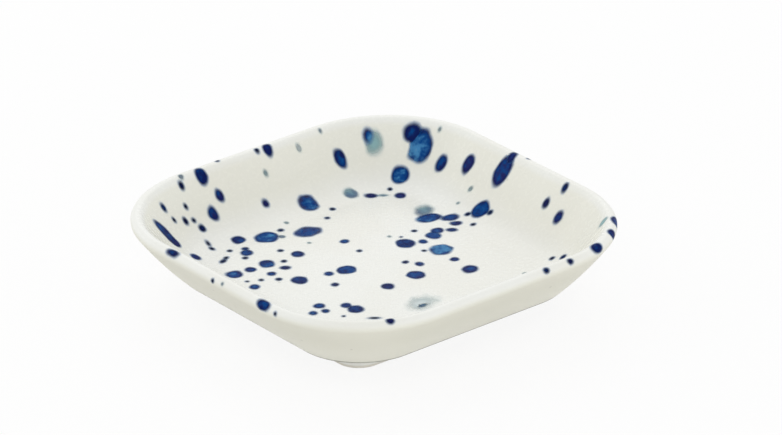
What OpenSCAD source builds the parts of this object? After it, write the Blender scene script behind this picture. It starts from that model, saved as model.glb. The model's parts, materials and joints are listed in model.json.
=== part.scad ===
// Square soy sauce dish: a flared, round-cornered clay body on a foot ring,
// white glaze inside and out, and cobalt drops spattered over the inside.
// Millimetres. The origin is the middle of the foot's resting face, Z points up,
// and the four sides face X and Y.

/* [Rim] */
// Width of the dish across the rim, from side to side
rim_w = 90; // [82:1:110]
// Radius of the rim's corners, seen from above
rim_corner_r = 26; // [25:0.5:30]
// Height of the lip above the table
dish_h = 19; // [17:0.5:23]

/* [Walls and floor] */
// Thickness of the wall, and so the width of its round lip
wall_t = 3; // [2.4:0.1:4]
// Steepness of the inner wall, in degrees from level
wall_angle = 50; // [46:1:55]
// Thickness of the floor, from the underside to the inside
floor_t = 3; // [2.4:0.1:4]
// Radius of the bend between the floor and the inner wall
bend_r = 14; // [8:0.5:16]
// How far the outer wall leans out from the edge of the underside to the rim
wall_flare = 11.25; // [9:0.25:14]
// Radius of the belly of the outer wall
belly_r = 90; // [60:5:200]
// Radius of the edge between the outer wall and the underside
base_edge_r = 1.2; // [0.8:0.1:2]

/* [Foot ring] */
// Height of the foot ring below the underside
foot_h = 4; // [2:0.5:5]
// How far the foot ring's glaze stands in from the edge of the underside
foot_inset = 6.15; // [5:0.05:10]
// Corner radius of the foot ring over its glaze
foot_corner_r = 6; // [5:0.5:10]
// Thickness of the foot ring's clay
foot_t = 3.4; // [2.4:0.1:4]
// Height of the bare clay at the resting edge, below the glaze
bare_h = 0.8; // [0.4:0.1:1.6]

/* [Glaze and drops] */
// Thickness of the glaze
glaze_t = 0.4; // [0.25:0.05:0.6]
// Radius of the largest drops
drop_r = 2.7; // [2:0.1:3]

/* [Hidden] */
$fn = 64;

// How far a cutting shape runs past what it cuts
overrun = 1;

// Straight pieces that stand for each round stretch of the wall's profile
bend_steps = 8;
lip_inner_steps = 4;
lip_outer_steps = 6;
lip_side_steps = 4;
belly_steps = 4;
edge_steps = 4;

// Places of the drops as shares of half the rim's width, and their radii as shares of the largest drop's.
// Dark drops on the floor
floor_drop_shares = [
    [-0.58, 0.35, 0.75], [-0.49, 0.34, 0.50], [-0.39, 0.34, 0.70], [-0.21, 0.33, 0.55], [-0.31, 0.31, 0.27],
    [-0.44, 0.24, 0.40], [-0.35, 0.25, 0.45], [-0.52, 0.22, 0.23], [-0.59, 0.18, 0.48], [-0.45, 0.17, 0.28],
    [-0.38, 0.10, 0.72], [-0.23, 0.06, 0.42], [-0.14, 0.04, 0.82], [0.05, 0.29, 0.42], [0.04, 0.16, 0.25],
    [-0.28, -0.05, 0.35], [-0.48, -0.18, 0.48], [-0.55, -0.22, 0.38], [-0.49, -0.24, 0.36], [-0.38, -0.26, 0.48],
    [-0.37, -0.32, 0.66], [-0.10, -0.22, 0.50], [0.07, -0.21, 0.77], [0.13, -0.08, 0.30], [0.17, -0.14, 0.40],
    [0.33, -0.21, 0.42], [0.32, -0.34, 0.70], [0.35, -0.08, 0.98], [0.26, 0.08, 0.80], [0.34, 0.04, 0.40],
    [0.42, 0.06, 0.68], [0.47, 0.09, 0.52], [0.53, 0.05, 0.36], [0.50, 0.22, 0.76], [0.55, 0.23, 0.76],
    [0.61, 0.16, 0.66], [0.60, 0.11, 0.46], [0.68, 0.11, 0.27], [0.73, 0.07, 0.78], [0.74, 0.01, 0.27],
    [0.29, 0.15, 0.18], [0.28, -0.04, 0.20], [-0.58, 0.25, 0.18], [-0.46, -0.34, 0.16], [-0.36, -0.45, 0.24],
    [-0.25, 0.41, 0.27], [0.38, 0.16, 0.26], [0.64, 0.02, 0.24],
];
// Dark drops where the floor bends up to the two far walls
bend_drop_shares = [
    [-0.34, 0.63, 0.60], [-0.44, 0.57, 0.24], [-0.21, 0.57, 1.00], [-0.04, 0.48, 0.92], [0.01, 0.50, 0.84],
    [-0.39, 0.50, 0.56], [-0.37, 0.54, 0.32], [-0.43, 0.46, 0.27], [-0.54, 0.50, 0.34], [-0.50, 0.52, 0.25],
    [-0.63, 0.59, 0.46], [-0.49, 0.68, 0.22], [-0.50, 0.63, 0.30], [0.15, 0.55, 0.27], [0.47, 0.61, 0.46],
    [0.58, 0.51, 0.50], [0.66, 0.62, 0.78], [0.15, 0.70, 0.88], [0.69, -0.60, 0.30], [0.67, -0.54, 0.24],
    [0.58, 0.59, 0.22], [0.23, 0.61, 0.26], [-0.11, 0.59, 0.27],
];
// Dark drops on the two far walls and the corners between them. The first three make one long drop.
wall_drop_shares = [
    [-0.735, 0.735, 0.48], [-0.715, 0.715, 0.56], [-0.695, 0.695, 0.64],
    [-0.63, 0.84, 0.30], [-0.53, 0.80, 0.27], [-0.46, 0.76, 0.32], [-0.49, 0.85, 0.20], [-0.36, 0.80, 0.48],
    [-0.28, 0.85, 0.42], [-0.06, 0.77, 0.37], [0.46, 0.83, 0.62], [0.65, 0.84, 0.56], [0.82, 0.71, 0.68],
    [0.80, 0.63, 0.96], [0.82, 0.48, 0.50], [0.86, 0.32, 0.66], [0.89, 0.09, 0.76], [0.86, -0.27, 0.34],
    [0.84, -0.39, 0.42], [0.93, -0.33, 0.32], [-0.46, 0.92, 0.28], [-0.60, 0.80, 0.18], [-0.48, 0.80, 0.22],
];
// Dark drops on the lip
lip_drop_shares = [
    [-0.34, 0.93, 0.66], [0.09, 0.94, 0.46], [0.03, 0.95, 0.27], [-0.965, 0.31, 0.46], [-0.965, 0.27, 0.40],
    [-0.98, -0.405, 0.66], [-0.63, -0.91, 0.34], [0.84, -0.80, 0.50], [0.75, -0.88, 0.50], [0.59, -0.95, 0.66],
    [0.25, -0.975, 0.28], [0.40, -0.975, 0.28], [-0.98, -0.03, 0.22], [-0.975, -0.50, 0.20], [-0.20, 0.97, 0.26],
    [0.98, 0.00, 0.26], [0.95, 0.08, 0.42],
];
// Dark drops on the two near walls
near_drop_shares = [
    [-0.72, 0.10, 0.62], [-0.80, 0.24, 0.34], [-0.69, -0.12, 0.32], [-0.84, -0.18, 0.72], [-0.77, -0.34, 0.30],
    [-0.90, 0.05, 0.40], [-0.66, -0.45, 0.56], [-0.75, -0.62, 0.46], [-0.58, -0.74, 0.70], [-0.48, -0.63, 0.32],
    [-0.38, -0.82, 0.44], [-0.23, -0.70, 0.58], [-0.10, -0.86, 0.36], [0.04, -0.66, 0.30], [0.12, -0.78, 0.66],
    [0.28, -0.68, 0.42], [0.37, -0.85, 0.52], [0.50, -0.76, 0.36],
];
cobalt_shares = concat(floor_drop_shares, bend_drop_shares, wall_drop_shares, lip_drop_shares, near_drop_shares);
// Pale, watery drops
pale_shares = [
    [0.64, 0.81, 0.76], [0.39, 0.67, 0.70], [0.52, 0.57, 0.32], [0.57, 0.32, 0.60], [0.61, 0.36, 0.42],
    [-0.13, -0.45, 0.78], [-0.06, -0.42, 0.88], [-0.15, 0.53, 0.30], [0.82, -0.74, 0.44], [0.49, -0.55, 0.24],
    [-0.55, -0.52, 0.50], [0.20, -0.60, 0.34], [0.42, 0.94, 0.22], [0.26, 0.91, 0.28], [0.02, 0.87, 0.26],
    [-0.04, 0.63, 0.22], [0.79, 0.22, 0.26], [0.25, 0.19, 0.20], [-0.09, 0.39, 0.18], [0.90, 0.59, 0.20],
];

// The profile is drawn with x as the distance out from the corner axes and y as the height.
corner_axis = rim_w / 2 - rim_corner_r;
floor_z = foot_h + floor_t;
lip_r = wall_t / 2;
lip_c = [rim_corner_r - lip_r, dish_h - lip_r];
// Widths of the underside, and of the foot ring over its glaze, from side to side
base_w = rim_w - 2 * wall_flare;
foot_w = base_w - 2 * foot_inset;

// The inner wall leaves the lip at its own steepness, and the bend joins it to the floor.
inner_top = lip_c + lip_r * [-sin(wall_angle), cos(wall_angle)];
inner_foot_x = inner_top.x - (inner_top.y - floor_z) / tan(wall_angle);
bend_c = [inner_foot_x - bend_r * tan(wall_angle / 2), floor_z + bend_r];

// The belly runs through the edge of the underside and touches the lip.
base_corner = [base_w / 2 - corner_axis, foot_h];
belly_span = norm(lip_c - base_corner);
belly_way = (lip_c - base_corner) / belly_span;
belly_along = (pow(belly_r, 2) - pow(belly_r - lip_r, 2) + pow(belly_span, 2)) / (2 * belly_span);
belly_off = sqrt(pow(belly_r, 2) - pow(belly_along, 2));
belly_c = base_corner + belly_along * belly_way + belly_off * [-belly_way.y, belly_way.x];
belly_top_angle = direction(belly_c, lip_c);

// The rounded edge touches both the belly and the underside.
edge_z = foot_h + base_edge_r;
edge_c = [belly_c.x + sqrt(pow(belly_r - base_edge_r, 2) - pow(edge_z - belly_c.y, 2)), edge_z];
belly_foot_angle = direction(belly_c, edge_c);

function direction(from, to) = atan2(to.y - from.y, to.x - from.x);

// Points of an arc, with its first ones left out where another arc has them already.
function arc(centre, r, start, end, steps, first = 0) =
    [for (i = [first:steps]) let (a = start + (end - start) * i / steps) centre + r * [cos(a), sin(a)]];

function reversed(points) = [for (i = [len(points) - 1:-1:0]) points[i]];

// The face that the inside shows, from the middle of the floor to the outermost point of the lip,
// at a depth below the finished surface.
function inside_line(depth) = concat(
    [[0, floor_z - depth]],
    arc(bend_c, bend_r + depth, -90, wall_angle - 90, bend_steps),
    arc(lip_c, lip_r - depth, 90 + wall_angle, 90, lip_inner_steps),
    arc(lip_c, lip_r - depth, 90, 0, lip_outer_steps, 1)
);

// The face that the outside shows, from the outermost point of the lip to the middle of the underside.
// The first point is left out where the inside has it already.
function outside_line(depth, first = 0) = concat(
    arc(lip_c, lip_r - depth, 0, belly_top_angle, lip_side_steps, first),
    arc(belly_c, belly_r - depth, belly_top_angle, belly_foot_angle, belly_steps, 1),
    arc(edge_c, base_edge_r - depth, belly_foot_angle, -90, edge_steps, 1),
    [[0, foot_h + depth]]
);

// Carries a profile round the four corners and along the four sides, and closes the middle with a plate.
module swept(plate_z, plate_t) {
    for (turn = [0:90:270])
        rotate(turn)
            translate([corner_axis, corner_axis, 0]) {
                rotate_extrude(angle = 90) children();
                rotate([90, 0, 0]) linear_extrude(2 * corner_axis) children();
            }
    translate([-corner_axis, -corner_axis, plate_z]) cube([2 * corner_axis, 2 * corner_axis, plate_t]);
}

module rounded_square(width, corner_r) {
    straight = width - 2 * corner_r;
    square([width, straight], center = true);
    square([straight, width], center = true);
    for (turn = [0:90:270]) rotate(turn) translate([straight / 2, straight / 2]) circle(corner_r);
}

// A wall of even thickness whose outer face is a rounded square.
module rounded_ring(width, corner_r, thickness) {
    difference() {
        rounded_square(width, corner_r);
        rounded_square(width - 2 * thickness, corner_r - thickness);
    }
}

// Upright columns, one for each drop in a table of shares.
module drop_columns(shares) {
    linear_extrude(dish_h + overrun)
        for (share = shares) translate(rim_w / 2 * [share[0], share[1]]) circle(share[2] * drop_r);
}

// The whole coat over the inside and the top of the lip.
module inside_coat() {
    swept(floor_z - glaze_t, glaze_t) polygon(concat(inside_line(0), reversed(inside_line(glaze_t))));
}

// The foot ring's clay face, inside its glaze.
foot_clay_w = foot_w - 2 * glaze_t;
foot_clay_r = foot_corner_r - glaze_t;
// The recess that the foot ring's clay encloses.
recess_w = foot_clay_w - 2 * foot_t;
recess_r = foot_clay_r - foot_t;
// Height of the clay body's underside, where the foot ring is joined on
seat_z = foot_h + glaze_t;

module clay_body() {
    color("wheat")
        swept(seat_z, floor_t - 2 * glaze_t)
            polygon(concat(inside_line(glaze_t), outside_line(glaze_t, 1)));
}

module foot_ring() {
    color("burlywood") linear_extrude(seat_z) rounded_ring(foot_clay_w, foot_clay_r, foot_t);
}

module inside_glaze() {
    color("white") difference() {
        inside_coat();
        drop_columns(concat(cobalt_shares, pale_shares));
    }
}

module outside_glaze() {
    color("whitesmoke") {
        difference() {
            swept(foot_h, glaze_t) polygon(concat(outside_line(0), reversed(outside_line(glaze_t))));
            linear_extrude(seat_z + overrun) rounded_square(foot_clay_w, foot_clay_r);
        }
        translate([0, 0, bare_h]) linear_extrude(foot_h - bare_h) rounded_ring(foot_w, foot_corner_r, glaze_t);
    }
}

module base_glaze() {
    color("ivory") {
        translate([0, 0, foot_h]) linear_extrude(glaze_t) rounded_square(recess_w, recess_r);
        translate([0, 0, bare_h]) linear_extrude(foot_h - bare_h) rounded_ring(recess_w, recess_r, glaze_t);
    }
}

module cobalt_drops() {
    color("navy") intersection() {
        inside_coat();
        drop_columns(cobalt_shares);
    }
}

module pale_washes() {
    color("lightsteelblue") difference() {
        intersection() {
            inside_coat();
            drop_columns(pale_shares);
        }
        drop_columns(cobalt_shares);
    }
}

clay_body();
foot_ring();
inside_glaze();
outside_glaze();
base_glaze();
cobalt_drops();
pale_washes();
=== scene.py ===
"""A square soy sauce dish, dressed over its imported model.

The dish is one flared clay body on a foot ring. A white coat runs over the floor, the walls, the lip and the
foot's outer face, a second coat fills the hollow inside the foot, and the resting edge is bare clay. Cobalt
drops and pale washes are spattered over the inside.
"""

import json
import logging
import math
import random
from dataclasses import dataclass
from enum import Enum
from functools import cached_property

import bpy
from mathutils import Matrix, Vector

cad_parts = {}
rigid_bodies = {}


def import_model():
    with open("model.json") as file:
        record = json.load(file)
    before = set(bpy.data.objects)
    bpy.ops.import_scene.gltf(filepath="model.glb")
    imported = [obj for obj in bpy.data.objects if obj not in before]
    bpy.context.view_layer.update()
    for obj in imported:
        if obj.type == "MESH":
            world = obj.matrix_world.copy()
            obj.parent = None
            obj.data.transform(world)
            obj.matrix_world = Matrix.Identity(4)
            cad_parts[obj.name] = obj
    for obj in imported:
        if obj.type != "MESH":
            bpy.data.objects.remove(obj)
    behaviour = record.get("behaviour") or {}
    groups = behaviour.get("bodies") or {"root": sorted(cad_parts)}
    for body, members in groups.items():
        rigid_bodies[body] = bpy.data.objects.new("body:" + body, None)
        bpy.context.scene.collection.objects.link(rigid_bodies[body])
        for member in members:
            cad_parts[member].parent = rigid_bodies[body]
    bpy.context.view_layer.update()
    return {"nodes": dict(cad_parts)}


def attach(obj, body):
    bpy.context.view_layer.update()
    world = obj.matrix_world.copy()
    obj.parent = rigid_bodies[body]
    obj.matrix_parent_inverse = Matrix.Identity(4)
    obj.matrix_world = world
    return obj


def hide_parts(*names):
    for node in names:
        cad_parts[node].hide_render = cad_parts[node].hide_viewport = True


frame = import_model()

LOG = logging.getLogger("soy_sauce_dish")
MM = 0.001
UP = math.radians(90)
INWARD = math.radians(180)
DOWN = math.radians(-90)
FULL_TURN = math.radians(360)
NOISE_MEAN = 0.5
Colour = tuple[float, float, float, float]
Span = tuple[float, float]
WHITE: Colour = (1.0, 1.0, 1.0, 1.0)


def tint(red: int, green: int, blue: int) -> Colour:
    """Turns a colour read off a screen into the linear colour that a shader takes.

    Args:
        red, green, blue: Screen values from 0 to 255.

    Returns:
        The linear colour, opaque.
    """
    def linear(value: int) -> float:
        """One channel, through the sRGB curve of a screen."""
        share = value / 255
        return share / 12.92 if share <= 0.04045 else ((share + 0.055) / 1.055) ** 2.4

    return linear(red), linear(green), linear(blue), 1.0


class Slot(Enum):
    """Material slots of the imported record."""

    CLAY = "fired_clay"
    WHITE = "white_glaze"
    COBALT = "cobalt_glaze"
    PALE = "pale_cobalt_glaze"


class Ink(Enum):
    """How a dark drop took its colour, from a thick one to a thin bright one."""

    INDIGO = 0.08
    NAVY = 0.28
    COBALT = 0.48
    BLUE = 0.62
    SKY = 0.82


class Wash(Enum):
    """How strong a watery drop is, from slate grey to a faint mist."""

    SLATE = 0.1
    BLUISH = 0.3
    GREY = 0.5
    WATERY = 0.85
    FAINT = 1.6


class Wire:
    """An output socket of a node tree. Arithmetic on it adds Math nodes."""

    def __init__(self, maker: "NodeMaker", socket: bpy.types.NodeSocket) -> None:
        """Keeps the socket and the maker of its tree."""
        self.maker = maker
        self.socket = socket

    def out(self, name: str) -> "Wire":
        """Another output of the same node."""
        return Wire(self.maker, self.maker.find(self.socket.node.outputs, name))

    def __add__(self, other: "Value") -> "Wire":
        """Sum."""
        return self.maker.math("ADD", self, other)

    __radd__ = __add__

    def __sub__(self, other: "Value") -> "Wire":
        """Difference."""
        return self.maker.math("SUBTRACT", self, other)

    def __rsub__(self, other: "Value") -> "Wire":
        """Difference, with this wire taken off a number."""
        return self.maker.math("SUBTRACT", other, self)

    def __mul__(self, other: "Value") -> "Wire":
        """Product."""
        return self.maker.math("MULTIPLY", self, other)

    __rmul__ = __mul__

    def __truediv__(self, other: "Value") -> "Wire":
        """Quotient."""
        return self.maker.math("DIVIDE", self, other)

    def __pow__(self, other: "Value") -> "Wire":
        """Power."""
        return self.maker.math("POWER", self, other)

    def __lt__(self, other: "Value") -> "Wire":
        """One where this wire is the smaller, else zero."""
        return self.maker.math("LESS_THAN", self, other)

    def __gt__(self, other: "Value") -> "Wire":
        """One where this wire is the greater, else zero."""
        return self.maker.math("GREATER_THAN", self, other)


Value = Wire | float


class NodeMaker:
    """Adds nodes to one shader or geometry tree."""

    def __init__(self, tree: bpy.types.NodeTree) -> None:
        """Keeps the tree."""
        self.tree = tree

    @staticmethod
    def find(sockets: bpy.types.bpy_prop_collection, key: str | int) -> bpy.types.NodeSocket:
        """Finds a socket.

        Args:
            sockets: A node's inputs or outputs.
            key: The socket's place in the list, its identifier or its name.

        Returns:
            The socket.
        """
        if isinstance(key, int):
            return sockets[key]
        for socket in sockets:
            if socket.identifier == key:
                return socket
        return next(socket for socket in sockets if socket.name == key and socket.enabled)

    def node(self, kind: str, settings: dict | None = None, sockets: dict | None = None,
             output: str | int = 0) -> Wire:
        """Adds one node.

        Args:
            kind: The node's type.
            settings: Its properties, set first.
            sockets: Values or wires for its inputs.
            output: Which output the wire leaves from.

        Returns:
            That output, or the first input of a node that has none.
        """
        made = self.tree.nodes.new(kind)
        for name, value in (settings or {}).items():
            setattr(made, name, value)
        for key, value in (sockets or {}).items():
            socket = self.find(made.inputs, key)
            if isinstance(value, Wire):
                self.tree.links.new(value.socket, socket)
            else:
                socket.default_value = value
        return Wire(self, self.find(made.outputs, output) if made.outputs else made.inputs[0])

    def math(self, operation: str, *values: Value) -> Wire:
        """A Math node on numbers and wires."""
        return self.node("ShaderNodeMath", {"operation": operation}, dict(enumerate(values)))

    def clamped(self, value: Value, low: Value, high: Value) -> Wire:
        """A value held between two others."""
        return self.math("MINIMUM", self.math("MAXIMUM", value, low), high)

    def combine(self, x: Value, y: Value, z: Value) -> Wire:
        """Three numbers as a vector."""
        return self.node("ShaderNodeCombineXYZ", None, {"X": x, "Y": y, "Z": z})

    def apart(self, vector: Wire, axis: str = "X") -> Wire:
        """One number of a vector, whose node has the other two as well."""
        return self.node("ShaderNodeSeparateXYZ", None, {"Vector": vector}, axis)

    def sum(self, first: Wire, second: "Wire | tuple") -> Wire:
        """Two vectors added."""
        return self.node("ShaderNodeVectorMath", {"operation": "ADD"}, {0: first, 1: second}, "Vector")

    def ramped(self, value: Wire, low: float, high: float, start: float = 0.0, end: float = 1.0) -> Wire:
        """Carries a value smoothly from one level to another, and holds it beyond them.

        Args:
            value: The value.
            low, high: Where the change starts and ends.
            start, end: The levels there.

        Returns:
            The level at the value.
        """
        settings = {"interpolation_type": "SMOOTHSTEP", "clamp": True}
        places = {"Value": value, "From Min": low, "From Max": high, "To Min": start, "To Max": end}
        return self.node("ShaderNodeMapRange", settings, places)

    def blend(self, share: Value, first: "Wire | Colour", second: "Wire | Colour") -> Wire:
        """Mixes two colours, by the second one's share."""
        sockets = {"Factor_Float": share, "A_Color": first, "B_Color": second}
        return self.node("ShaderNodeMix", {"data_type": "RGBA"}, sockets, "Result_Color")


@dataclass(frozen=True)
class Cloud:
    """Cloudy noise: patches per metre, levels of detail, their strength and a shift off the other noises."""

    scale: float
    detail: float = 2.0
    roughness: float = 0.5
    shift: float = 0.0


@dataclass(frozen=True)
class Dots:
    """Sparse round dots: cells per metre, share of cells with a dot, a dot's radius and its core's share."""

    scale: float
    share: float
    radius: float
    core_share: float = 0.55


class Surface(NodeMaker):
    """The node tree of one material, read in the piece's own coordinates."""

    def __init__(self, name: str) -> None:
        """Starts a material that has no nodes but its coordinates.

        Args:
            name: The material's name.
        """
        self.material = bpy.data.materials.new(name)
        self.material.use_nodes = True
        self.material.node_tree.nodes.clear()
        super().__init__(self.material.node_tree)
        self.place = self.node("ShaderNodeTexCoord", None, None, "Object")

    def noise(self, cloud: Cloud) -> Wire:
        """Cloudy noise.

        Args:
            cloud: Its sizes.

        Returns:
            Values from 0 to 1.
        """
        place = self.sum(self.place, (cloud.shift,) * 3) if cloud.shift else self.place
        sizes = {"Scale": cloud.scale, "Detail": cloud.detail, "Roughness": cloud.roughness}
        return self.node("ShaderNodeTexNoise", None, {"Vector": place, **sizes})

    def attribute(self, name: str) -> Wire:
        """A number that the piece's mesh carries."""
        return self.node("ShaderNodeAttribute", {"attribute_name": name}, None, "Fac")

    def dots(self, dots: Dots) -> Wire:
        """Sparse round dots.

        Args:
            dots: Their sizes.

        Returns:
            One in a dot, falling to zero at its edge.
        """
        cell = self.node("ShaderNodeTexVoronoi", None,
                         {"Vector": self.place, "Scale": dots.scale}, "Distance")
        chance = self.node("ShaderNodeSeparateColor", None, {"Color": cell.out("Color")}, "Red")
        return self.ramped(cell, dots.radius * dots.core_share, dots.radius, 1.0, 0.0) * (chance < dots.share)

    def finish(self, colour: Wire, roughness: Wire, relief: Wire, bump: Span,
               others: dict[str, Value]) -> bpy.types.Material:
        """Closes the tree with a shader that has fine relief.

        Args:
            colour: Colour over the surface.
            roughness: Roughness over the surface.
            relief: Height of the fine relief, from 0 to 1.
            bump: The relief's strength and its depth in metres.
            others: The shader's other inputs.

        Returns:
            The material.
        """
        strength, depth = bump
        normal = self.node("ShaderNodeBump", None,
                           {"Strength": strength, "Distance": depth, "Height": relief})
        sockets = {"Base Color": colour, "Roughness": roughness, "Normal": normal, **others}
        shader = self.node("ShaderNodeBsdfPrincipled", None, sockets)
        self.node("ShaderNodeOutputMaterial", None, {"Surface": shader})
        return self.material


@dataclass(frozen=True)
class WhiteGlaze:
    """Glossy off-white glaze: creamier on the walls, whiter on the lip and the foot, duller outside.

    Outside, painted light makes it pale towards its foot and whiter still on the foot's face, which the
    underside shades, and painted shade darkens a thin band along the base's edge just above the foot. A span
    of a part of the dish is the two heights between which one colour passes into the next.
    """

    floor: Colour = tint(239, 240, 235)
    wall: Colour = tint(236, 236, 226)
    lip: Colour = tint(240, 241, 236)
    outer: Colour = tint(222, 221, 208)
    # Painted light: the outside is made paler towards its foot, to lift the shade that falls on the lower,
    # down-facing outer wall.
    outer_painted_light: Colour = tint(238, 237, 226)
    # Painted light: the foot's face is made whiter than the rest of the outside to brighten it where it lies
    # in the shade under the base.
    foot: Colour = tint(250, 250, 246)
    # Painted shade: dark grey for a thin line on the base's edge above the foot, where shadow falls between
    # the body and the foot.
    painted_edge_shade: Colour = tint(100, 99, 84)
    mottle: Colour = tint(231, 229, 217)
    speck: Colour = tint(176, 172, 160)
    wall_span: Span = (7.5 * MM, 11.5 * MM)
    lip_span: Span = (17.2 * MM, 18.5 * MM)
    outer_span: Span = (18.4 * MM, 16.2 * MM)
    outer_painted_light_span: Span = (14.0 * MM, 5.0 * MM)
    painted_foot_light_span: Span = (4.0 * MM, 3.4 * MM)
    edge_shade_low_span: Span = (4.06 * MM, 4.16 * MM)
    edge_shade_top_span: Span = (4.9 * MM, 4.4 * MM)
    painted_edge_shade_share: float = 0.85
    mottling: Cloud = Cloud(45, 3)
    mottle_span: Span = (0.38, 0.68)
    mottle_share: float = 0.3
    specks: Dots = Dots(330, 0.04, 0.14)
    speck_share: float = 0.4
    grain: Cloud = Cloud(900)
    pits: Dots = Dots(420, 0.03, 0.12)
    pit_depth: float = 0.3
    waves: Cloud = Cloud(170, 1, shift=3.0)
    bump: Span = (0.12, 0.04 * MM)
    gloss: float = 0.24
    outer_matt: float = 0.25
    grain_matt: float = 0.06
    pit_matt: float = 0.2
    shine: float = 0.27

    def material(self, name: str) -> bpy.types.Material:
        """Builds the glaze.

        Args:
            name: The material's name.

        Returns:
            The material.
        """
        coat = Surface(name)
        height = coat.apart(coat.place, "Z")
        outside = coat.attribute("outside")
        colour = coat.blend(coat.ramped(height, *self.wall_span), self.floor, self.wall)
        colour = coat.blend(coat.ramped(height, *self.lip_span), colour, self.lip)
        # Painted light: the outer wall pales towards the foot to offset the shade on its lower part.
        outer = coat.blend(coat.ramped(height, *self.outer_painted_light_span), self.outer, self.outer_painted_light)
        colour = coat.blend(outside * coat.ramped(height, *self.outer_span), colour, outer)
        # Painted light: whitens the foot's face, which lies in the shade under the base.
        colour = coat.blend(outside * coat.ramped(height, *self.painted_foot_light_span), colour, self.foot)
        # Painted shade: a thin dark band on the lower curve of the base's edge, just above the foot.
        base_edge = coat.ramped(height, *self.edge_shade_low_span) * coat.ramped(height, *self.edge_shade_top_span)
        colour = coat.blend(outside * base_edge * self.painted_edge_shade_share, colour, self.painted_edge_shade)
        mottled = coat.ramped(coat.noise(self.mottling), *self.mottle_span, 0.0, self.mottle_share)
        colour = coat.blend(mottled, colour, self.mottle)
        colour = coat.blend(coat.dots(self.specks) * self.speck_share, colour, self.speck)
        pits = coat.dots(self.pits)
        roughness = self.gloss + outside * self.outer_matt + coat.noise(self.grain) * self.grain_matt
        roughness = roughness + pits * self.pit_matt
        relief = coat.noise(self.waves) - pits * self.pit_depth
        return coat.finish(colour, roughness, relief, self.bump, {"Specular IOR Level": self.shine})


@dataclass(frozen=True)
class DropGlaze:
    """Pigment in the glaze: each drop has its own tone and hue, clouds, a darker rim and an uneven edge.

    A tone of 0 is the deepest pigment, and a higher one is thinner. A span of the core, the rim, the fringe
    or a crisp edge is two distances past the drop's radius.
    """

    name: str
    deep: Colour
    violet: Colour
    middle: Colour
    light: Colour
    watery: Colour
    fringe: Colour
    black: Colour
    cloud_share: float
    patch_share: float
    core_share: float
    rim_share: float
    black_share: float
    clouds: Cloud = Cloud(380, 3)
    patches: Cloud = Cloud(650, 3, 0.55, 1.7)
    middle_tones: Span = (0.0, 0.55)
    light_tones: Span = (0.5, 1.1)
    watery_tones: Span = (1.1, 1.7)
    rim_tones: Span = (1.2, 0.7)
    core_span: Span = (-0.4 * MM, -1.6 * MM)
    rim_span: Span = (-1.1 * MM, -0.2 * MM)
    fringe_span: Span = (-0.4 * MM, 0.35 * MM)
    crisp_span: Span = (0.4 * MM, -0.6 * MM)
    mist_shares: Span = (1.05, 0.1)
    black_radii: Span = (1.15 * MM, 0.55 * MM)
    ragged: float = 0.45 * MM
    soft_fringe: float = 0.5 * MM
    ragged_mist: float = 0.5
    grain: Cloud = Cloud(1100)
    bump: Span = (0.15, 0.03 * MM)
    gloss: float = 0.22
    grain_matt: float = 0.08
    shine: float = 0.025

    def material(self) -> bpy.types.Material:
        """Builds the pigment, which thins out to nothing at the drop's edge.

        Returns:
            The material.
        """
        drop = Surface(self.name)
        radius = drop.attribute("drop_radius")
        gone = drop.attribute("reach") * drop.attribute("lens_radius")
        past_edge = gone - radius
        cloud = drop.noise(self.clouds) - NOISE_MEAN
        patch = drop.noise(self.patches) - NOISE_MEAN
        core = drop.ramped(past_edge, *self.core_span) * self.core_share
        tone = drop.attribute("tone") + drop.attribute("across") * drop.attribute("sway")
        tone = tone + cloud * self.cloud_share + patch * self.patch_share + core
        colour = drop.blend(drop.attribute("hue"), self.deep, self.violet)
        colour = drop.blend(drop.ramped(tone, *self.middle_tones), colour, self.middle)
        colour = drop.blend(drop.ramped(tone, *self.light_tones), colour, self.light)
        colour = drop.blend(drop.ramped(tone, *self.watery_tones), colour, self.watery)
        rim = drop.ramped(past_edge, *self.rim_span) * drop.ramped(tone, *self.rim_tones)
        colour = drop.blend(rim * self.rim_share, colour, self.deep)
        colour = drop.blend(drop.ramped(radius, *self.black_radii) * self.black_share, colour, self.black)
        soft = drop.attribute("soft")
        edge = past_edge + cloud * self.ragged
        fringed = drop.ramped(edge + soft * self.soft_fringe, *self.fringe_span)
        colour = drop.blend(fringed, colour, self.fringe)
        crisp = drop.ramped(edge, *self.crisp_span)
        misty = drop.ramped(gone / radius + cloud * self.ragged_mist, *self.mist_shares)
        cover = crisp + (misty - crisp) * soft
        grain = drop.noise(self.grain)
        return drop.finish(colour, self.gloss + grain * self.grain_matt, grain, self.bump,
                           {"Specular IOR Level": self.shine, "Alpha": cover})


@dataclass(frozen=True)
class BareClay:
    """Fired clay with no glaze: matt, fine-grained and faintly speckled."""

    colour: Colour = tint(240, 237, 228)
    toast: Colour = tint(230, 224, 210)
    speck: Colour = tint(176, 162, 140)
    clouds: Cloud = Cloud(90, 4, 0.6)
    toast_span: Span = (0.35, 0.7)
    specks: Dots = Dots(700, 0.12, 0.2)
    speck_share: float = 0.6
    grain: Cloud = Cloud(2600, 3, 0.6)
    bump: Span = (0.5, 0.06 * MM)
    matt: float = 0.72
    grain_matt: float = 0.2
    ior: float = 1.45

    def material(self, name: str) -> bpy.types.Material:
        """Builds the clay.

        Args:
            name: The material's name.

        Returns:
            The material.
        """
        clay = Surface(name)
        grain = clay.noise(self.grain)
        colour = clay.blend(clay.ramped(clay.noise(self.clouds), *self.toast_span), self.colour, self.toast)
        colour = clay.blend(clay.dots(self.specks) * self.speck_share, colour, self.speck)
        return clay.finish(colour, self.matt + grain * self.grain_matt, grain, self.bump, {"IOR": self.ior})


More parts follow.
